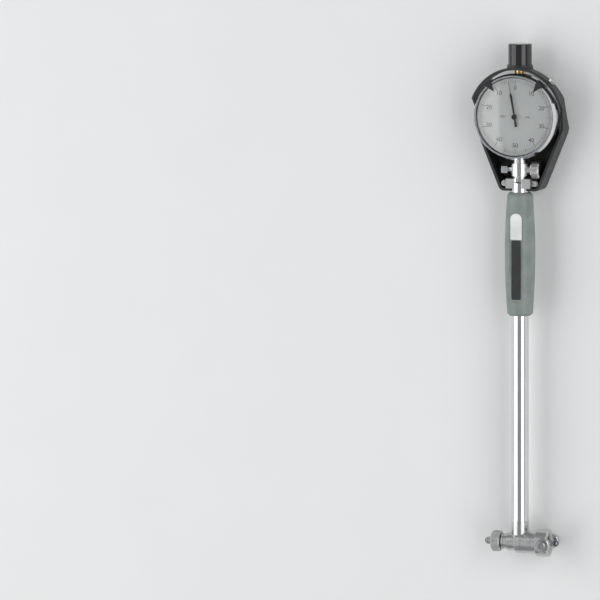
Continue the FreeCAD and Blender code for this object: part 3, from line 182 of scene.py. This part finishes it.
def turned(name, color, roughness, centre, axis, pitch_mm=0.18, depth_mm=0.004):
    """Metal turned on a lathe: rings round the axis, with light handling marks."""
    shader = Shader(name)
    rings = shader.lathe_lines(centre, axis, pitch_mm)
    tone = shader.mix(shader.spread(rings, 0.35, 0.65, 0.0, 1.0), shade(color, 0.86), shade(color, 1.06))
    smudge = shader.spread(shader.noise(4.0, 4.0), 0.35, 0.7, 0.85, 1.25)
    ringed = shader.spread(rings, 0.3, 0.7, roughness * 0.8, roughness * 1.2)
    gloss = shader.math("MULTIPLY", ringed, smudge)
    normal = shader.bump(rings, depth_mm, shader.soft_edges(0.12))
    return shader.finish(tone, gloss, normal, metallic=1.0)


def plated(name, color, roughness, smear_mm=14.0):
    """Polished plating with faint smears and hairlines."""
    shader = Shader(name)
    smear = shader.spread(shader.noise(smear_mm, 5.0, 0.6), 0.35, 0.7, 0.0, 1.0)
    tone = shader.mix(smear, color, shade(color, 0.93))
    hairlines = shader.noise(0.6, 5.0, 0.7)
    scuffed = shader.spread(hairlines, 0.3, 0.7, roughness * 0.8, roughness * 1.2)
    gloss = shader.math("ADD", shader.math("MULTIPLY", smear, roughness * 0.6), scuffed)
    normal = shader.bump(hairlines, 0.0006, shader.soft_edges(0.12))
    return shader.finish(tone, gloss, normal, metallic=1.0)


def painted(name, color, roughness):
    """Thin, even paint or enamel with a slight orange peel."""
    shader = Shader(name)
    cloud = shader.spread(shader.noise(6.0, 3.0), 0.3, 0.7, 0.0, 1.0)
    tone = shader.mix(cloud, shade(color, 0.97), color)
    gloss = shader.spread(shader.noise(2.0), 0.3, 0.7, roughness * 0.85, roughness * 1.15)
    normal = shader.bump(shader.noise(0.5), 0.001, shader.soft_edges(0.08))
    return shader.finish(tone, gloss, normal)


def clear(name, tint, roughness):
    """Clear moulding with hardly visible handling marks."""
    shader = Shader(name)
    marks = shader.spread(shader.noise(7.0, 5.0, 0.6), 0.45, 0.75, roughness, roughness * 4 + 0.01)
    tone = shader.mix(shader.noise(20.0), tint, shade(tint, 0.98))
    normal = shader.bump(shader.noise(9.0), 0.0008)
    return shader.finish(tone, marks, normal, Transmission_Weight=1.0, IOR=1.49)


# ---------------------------------------------------------------- materials of the CAD nodes
STEEL = (0.60, 0.60, 0.59)
CHROME = (0.78, 0.79, 0.79)
BRASS = (0.72, 0.52, 0.22)
BLACK = (0.018, 0.018, 0.019)

finishes = {
    moulded("guard_black", (0.022, 0.022, 0.023), 0.42, 0.28, 0.02, worn=0.5): ["guard_shell"],
    moulded("cap_black", (0.012, 0.012, 0.013), 0.12, 0.8, 0.0015, Coat_Weight=0.4): ["dust_cap"],
    moulded("grip_green_grey", (0.225, 0.262, 0.240), 0.42, 0.22, 0.008, worn=0.25): ["grip_sleeve"],
    moulded("label_white", (0.78, 0.79, 0.78), 0.35, 0.5, 0.001): ["white_label_plate"],
    moulded("label_black", (0.03, 0.03, 0.031), 0.30, 0.5, 0.001): ["black_label_plate"],
    painted("marker_black", BLACK, 0.3): ["tolerance_marker_left", "tolerance_marker_right"],
    painted("pointer_black", (0.008, 0.008, 0.008), 0.35): ["pointer"],
    painted("dial_white", (0.86, 0.87, 0.86), 0.45): ["dial_face"],
    clear("crystal_clear", (0.98, 0.985, 0.98), 0.01): ["crystal"],
    plated("stem_chrome", CHROME, 0.06): ["stem_tube"],
    turned("bezel_chrome", CHROME, 0.12, DIAL, Z_AXIS, 0.15, 0.001): ["bezel_ring"],
    plated("clamp_chrome", CHROME, 0.14, 4.0): ["clamp_ring", "clamp_nut"],
    turned("knob_steel", (0.70, 0.69, 0.67), 0.24, CLAMP, X_AXIS): ["clamp_knob"],
    turned("head_steel", STEEL, 0.26, HEAD, X_AXIS):
        ["head_body", "centring_bridge", "plunger_bush", "bridge_retaining_ring"],
    turned("nut_steel", (0.50, 0.50, 0.49), 0.34, HEAD, X_AXIS, 0.2, 0.006): ["anvil_lock_nut"],
    turned("anvil_steel", (0.55, 0.55, 0.55), 0.2, HEAD, X_AXIS, 0.1, 0.002): ["anvil", "contact_plunger"],
    turned("hard_tip", (0.22, 0.22, 0.23), 0.16, HEAD, X_AXIS, 0.1, 0.001): ["anvil_tip", "contact_tip"],
    turned("roller_steel", (0.62, 0.62, 0.61), 0.18, middle("front_roller"), Z_AXIS, 0.2, 0.003):
        ["front_roller", "rear_roller", "roller_screws"],
    plated("screw_steel", (0.62, 0.62, 0.6), 0.25, 2.0):
        ["guard_screws", "back_cover_screws", "movement_screws", "bezel_lock_screw"],
    turned("sleeve_steel", (0.62, 0.62, 0.61), 0.22, STEM, Y_AXIS): ["split_sleeve", "indicator_stem"],
    plated("block_alloy", (0.50, 0.50, 0.49), 0.36, 3.0): ["mounting_block"],
    # dark grey case: partly its own dark finish, partly painted shade where the guard closes round it
    turned("case_alloy_dark_with_painted_shade", (0.30, 0.30, 0.31), 0.4, DIAL, Z_AXIS): ["indicator_case", "case_back_cover"],
    plated("inner_steel", STEEL, 0.2, 4.0):
        ["spindle", "spindle_contact_point", "spindle_guide_pin", "spring_post", "transfer_rod", "bell_crank",
         "crank_pin", "take_up_arbor", "bridge_guide_pins"],
    plated("spring_wire", (0.45, 0.45, 0.46), 0.3, 2.0):
        ["spindle_return_spring", "rod_return_spring", "plunger_spring", "bridge_springs"],
    turned("movement_brass", BRASS, 0.25, DIAL, Z_AXIS):
        ["rack_pinion", "rack_gear", "centre_pinion", "take_up_gear", "movement_plate", "movement_pillars",
         "hairspring", "top_bushing", "upper_rod_bush", "lower_rod_bush"],
}
for material, nodes in finishes.items():
    for node in nodes:
        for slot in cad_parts[node].material_slots:
            slot.material = material


# ---------------------------------------------------------------- mesh helpers
def add_piece(name, mesh_builder, material, body):
    """Object from a bmesh, riding on a body and finished with the given material."""
    mesh = bpy.data.meshes.new(name)
    mesh_builder.to_mesh(mesh)
    mesh_builder.free()
    mesh.materials.append(material)
    piece = bpy.data.objects.new(name, mesh)
    bpy.context.scene.collection.objects.link(piece)
    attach(piece, body)
    return piece


def prism(builder, outline, rise):
    """Closed prism on a flat outline of points."""
    low = [builder.verts.new(point) for point in outline]
    high = [builder.verts.new(point + rise) for point in outline]
    builder.faces.new(list(reversed(low)))
    builder.faces.new(high)
    for here in range(len(outline)):
        there = (here + 1) % len(outline)
        builder.faces.new((low[here], low[there], high[there], high[here]))


# ---------------------------------------------------------------- printed dial
PRINT_RISE = 0.03 * MM
DIVISIONS = 100
SCALE_RADIUS = 25.6 * MM
TICKS = {10: (3.4 * MM, 0.34 * MM),      # length and width of every tenth tick,
         5: (2.6 * MM, 0.22 * MM),       # of every fifth,
         1: (1.9 * MM, 0.16 * MM)}       # and of the others
NUMBERS = 10
NUMBER_RADIUS = 19.9 * MM
NUMBER_HEIGHT = 3.0 * MM
UNIT_RADIUS = 9.0 * MM
UNIT_HEIGHT = 1.6 * MM
FONT_SIZE = 1.4               # size of the built-in font over the height of its figures


def round_dial(radius, degrees):
    """Point on the dial, at an angle to the right of the top."""
    turn = math.radians(degrees)
    return DIAL + Vector((radius * math.sin(turn), radius * math.cos(turn), 0))


def tick(builder, degrees, length, width):
    turn = Matrix.Rotation(-math.radians(degrees), 3, "Z")
    across = turn @ Vector((width / 2, 0, 0))
    outer = round_dial(SCALE_RADIUS, degrees)
    inner = round_dial(SCALE_RADIUS - length, degrees)
    prism(builder, [inner - across, inner + across, outer + across, outer - across], Z_AXIS * PRINT_RISE)


def lettering(builder, words, place, height):
    """Raised flat lettering in the built-in font, centred on a place."""
    curve = bpy.data.curves.new("lettering", "FONT")
    curve.body = words
    curve.size = height * FONT_SIZE
    curve.align_x = "CENTER"
    curve.align_y = "CENTER"
    curve.extrude = PRINT_RISE / 2
    holder = bpy.data.objects.new("lettering", curve)
    mesh = bpy.data.meshes.new_from_object(holder)
    mesh.transform(Matrix.Translation(place + Z_AXIS * PRINT_RISE / 2))
    builder.from_mesh(mesh)
    bpy.data.objects.remove(holder)
    bpy.data.curves.remove(curve)
    bpy.data.meshes.remove(mesh)


def dial_print():
    builder = bmesh.new()
    for division in range(DIVISIONS):
        length, width = next(TICKS[every] for every in TICKS if division % every == 0)
        tick(builder, division * 360 / DIVISIONS, length, width)
    for place in range(NUMBERS):
        number = min(place, NUMBERS - place) * DIVISIONS // NUMBERS
        lettering(builder, str(number), round_dial(NUMBER_RADIUS, place * 360 / NUMBERS), NUMBER_HEIGHT)
    lettering(builder, "0.01", round_dial(UNIT_RADIUS, -90), UNIT_HEIGHT)
    lettering(builder, "mm", round_dial(UNIT_RADIUS, 90), UNIT_HEIGHT)
    return builder


add_piece("dial_print", dial_print(), painted("dial_ink", (0.06, 0.06, 0.065), 0.5), "bezel")


# ---------------------------------------------------------------- knurling
KNURL_DEPTH = 0.11 * MM
KNURL_MARGIN = 0.8 * MM       # plain rim left at each end
KNURL_RIDGES = 44
KNURL_SLANT = 30              # degrees to the axis
KNURL_STEPS = 6               # along each ridge
RIDGE_SHARE = 0.62            # width of a ridge over the pitch of the ridges


def knurl(start, end, radius, depth, ridges, slant):
    """Crossed ridges round a rim whose axis runs along X, between two places on that axis."""
    builder = bmesh.new()
    twist = math.tan(math.radians(slant)) * (end - start).length / radius
    half = math.pi / ridges * RIDGE_SHARE
    along = (end - start) / KNURL_STEPS
    for hand in (-1, 1):
        for ridge in range(ridges):
            rows = []
            for step in range(KNURL_STEPS + 1):
                turn = ridge * 2 * math.pi / ridges + hand * twist * (step / KNURL_STEPS - 0.5)
                row = []
                for offset, reach in ((-half, radius - depth), (0, radius + depth), (half, radius - depth)):
                    angle = turn + offset
                    spoke = Vector((0, math.cos(angle), math.sin(angle))) * reach
                    row.append(builder.verts.new(start + along * step + spoke))
                rows.append(row)
            for here, there in zip(rows, rows[1:]):
                for side in range(3):
                    other = (side + 1) % 3
                    builder.faces.new((here[side], here[other], there[other], there[side]))
            builder.faces.new(rows[0])
            builder.faces.new(list(reversed(rows[-1])))
    bmesh.ops.recalc_face_normals(builder, faces=builder.faces)
    return builder


def knurled_rim(node, margin, ridges, slant):
    low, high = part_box(node)
    centre = middle(node)
    radius = (high.z - low.z) / 2
    start = Vector((low.x + margin, centre.y, centre.z))
    end = Vector((high.x - margin, centre.y, centre.z))
    return knurl(start, end, radius, KNURL_DEPTH, ridges, slant)


add_piece("lock_nut_knurl", knurled_rim("anvil_lock_nut", KNURL_MARGIN, KNURL_RIDGES, KNURL_SLANT),
          turned("knurl_steel", (0.52, 0.52, 0.51), 0.32, HEAD, X_AXIS), "lock_nut")

# ---------------------------------------------------------------- floor, light, camera
FLOOR_HALF = 6.0
FLOOR_DROP = 0.05 * MM        # keeps the floor just clear of the guard's flat back
LIGHT_DISTANCE = 1.6
LIGHT_LENGTH = 2.6
SKY_COLOR = (0.92, 0.95, 1.0, 1)
SKY_STRENGTH = 0.32


def floor_material():
    shader = Shader("floor_pale")
    tone = shader.mix(shader.noise(60.0, 3.0), (0.83, 0.83, 0.82), (0.86, 0.86, 0.855))
    gloss = shader.spread(shader.noise(25.0), 0.3, 0.7, 0.55, 0.65)
    return shader.finish(tone, gloss, shader.bump(shader.noise(0.7), 0.004))


def add_floor():
    builder = bmesh.new()
    signs = ((-1, -1), (1, -1), (1, 1), (-1, 1))
    corners = [builder.verts.new((x * FLOOR_HALF, y * FLOOR_HALF, -FLOOR_DROP)) for x, y in signs]
    builder.faces.new(corners)
    mesh = bpy.data.meshes.new("floor")
    builder.to_mesh(mesh)
    builder.free()
    mesh.materials.append(floor_material())
    floor = bpy.data.objects.new("floor", mesh)
    bpy.context.scene.collection.objects.link(floor)


def softbox(name, lean, width, power):
    """Area light that leans so many degrees from overhead towards +X, long along Y."""
    light = bpy.data.lights.new(name, "AREA")
    light.shape = "RECTANGLE"
    light.size = width
    light.size_y = LIGHT_LENGTH
    light.energy = power
    lamp = bpy.data.objects.new(name, light)
    turn = math.radians(lean)
    lamp.location = Vector((math.sin(turn), 0, math.cos(turn))) * LIGHT_DISTANCE
    lamp.rotation_euler = (0, turn, 0)
    bpy.context.scene.collection.objects.link(lamp)


def add_sky():
    """Even, faintly blue light from all round."""
    sky = bpy.data.worlds.new("studio")
    sky.use_nodes = True
    background = sky.node_tree.nodes["Background"]
    background.inputs["Color"].default_value = SKY_COLOR
    background.inputs["Strength"].default_value = SKY_STRENGTH
    bpy.context.scene.world = sky
    bpy.context.scene.view_settings.view_transform = "Standard"


add_floor()
softbox("softbox_left", -50, 1.5, 20)
softbox("softbox_right", 52, 1.1, 17)
add_sky()

VIEW_SIDE = 17.64             # degrees towards the contact's side of the dial's normal
VIEW_RISE = 6.5               # degrees towards the dust cap
VIEW_DISTANCE = 5.0
LENS = 431.5                  # mm
SENSOR_WIDTH = 36             # mm
CLIP_END = 50
AIM_SIDE = -1.753             # degrees that the camera turns away from the gauge's middle
AIM_RISE = 0.004


def add_camera():
    side, rise = math.radians(VIEW_SIDE), math.radians(VIEW_RISE)
    back = Vector((math.sin(side) * math.cos(rise), math.sin(rise), math.cos(side) * math.cos(rise)))
    ahead = -back
    right = ahead.cross(Y_AXIS).normalized()
    up = right.cross(ahead)
    yaw, pitch = math.radians(AIM_SIDE), math.radians(AIM_RISE)
    turned_ahead = ahead * math.cos(yaw) + right * math.sin(yaw)
    turned_right = right * math.cos(yaw) - ahead * math.sin(yaw)
    aimed = turned_ahead * math.cos(pitch) + up * math.sin(pitch)
    aimed_up = turned_right.cross(aimed)
    data = bpy.data.cameras.new("camera")
    data.lens = LENS
    data.sensor_width = SENSOR_WIDTH
    data.clip_end = CLIP_END
    camera = bpy.data.objects.new("camera", data)
    pose = Matrix((turned_right, aimed_up, -aimed)).transposed().to_4x4()
    camera.matrix_world = Matrix.Translation(Vector((0, 0, STEM.z)) + back * VIEW_DISTANCE) @ pose
    bpy.context.scene.collection.objects.link(camera)
    bpy.context.scene.camera = camera


add_camera()
